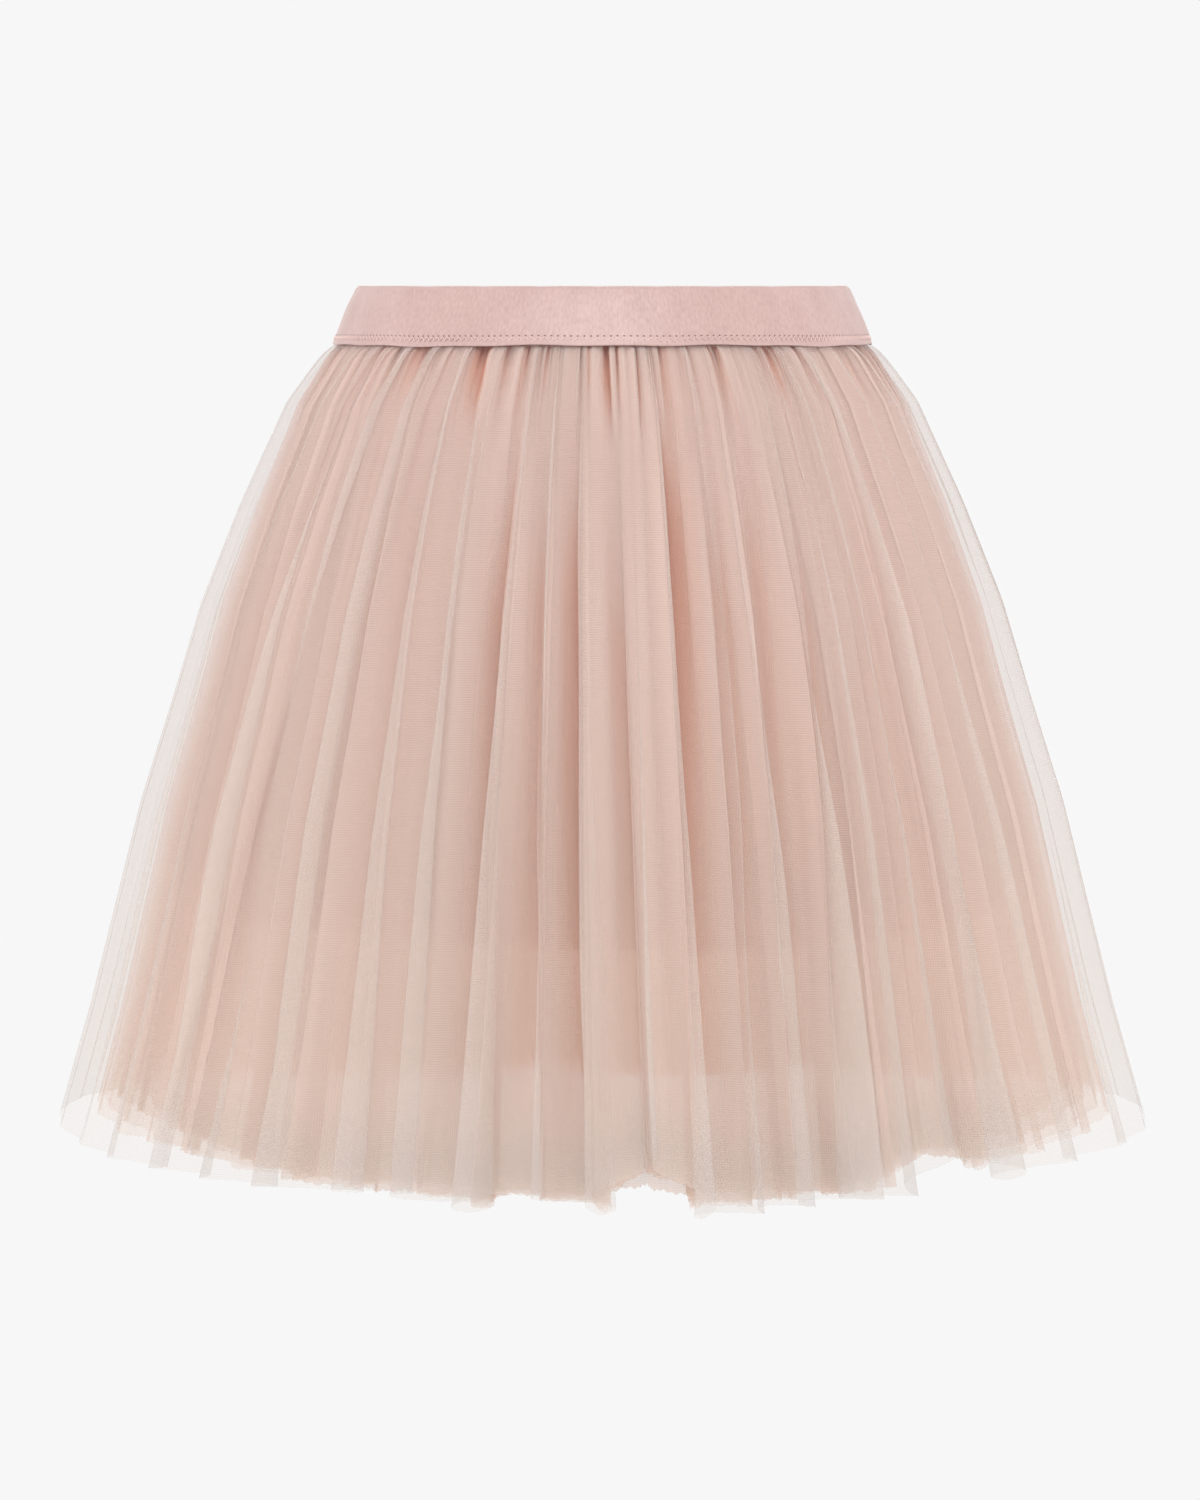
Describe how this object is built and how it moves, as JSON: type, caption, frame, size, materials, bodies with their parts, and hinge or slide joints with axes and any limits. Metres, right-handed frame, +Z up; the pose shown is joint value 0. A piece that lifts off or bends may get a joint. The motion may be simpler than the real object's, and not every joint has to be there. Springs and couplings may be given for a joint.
{
  "type": "tulle skirt",
  "caption": "Worn short flared skirt of gathered sheer tulle layers over a short lining, on a wide satin elastic waistband; hollow, open at waist and hem.",
  "frame": {"origin": "centre of the waistband ring, half way up the elastic, where the wearer's waist holds the skirt up", "axes": "+Z up the wearer's body, -Y towards the front, +X along the skirt's greatest width, to the right of someone facing the front"},
  "size_m": [0.5591, 0.4964, 0.4345],
  "materials": {
    "elastic_satin": "dusty pink satin-faced rib elastic",
    "tulle_sheer": "sheer blush tulle, matt, single layer",
    "tulle_dense": "blush tulle, matt, gathered full",
    "lining_knit": "dusty pink matt lining"
  },
  "bodies": {
    "root": {"waistband": "elastic_satin", "tulle_outer": "tulle_sheer", "tulle_middle": "tulle_dense", "tulle_inner": "tulle_dense", "lining": "lining_knit"}
  },
  "joints": []
}
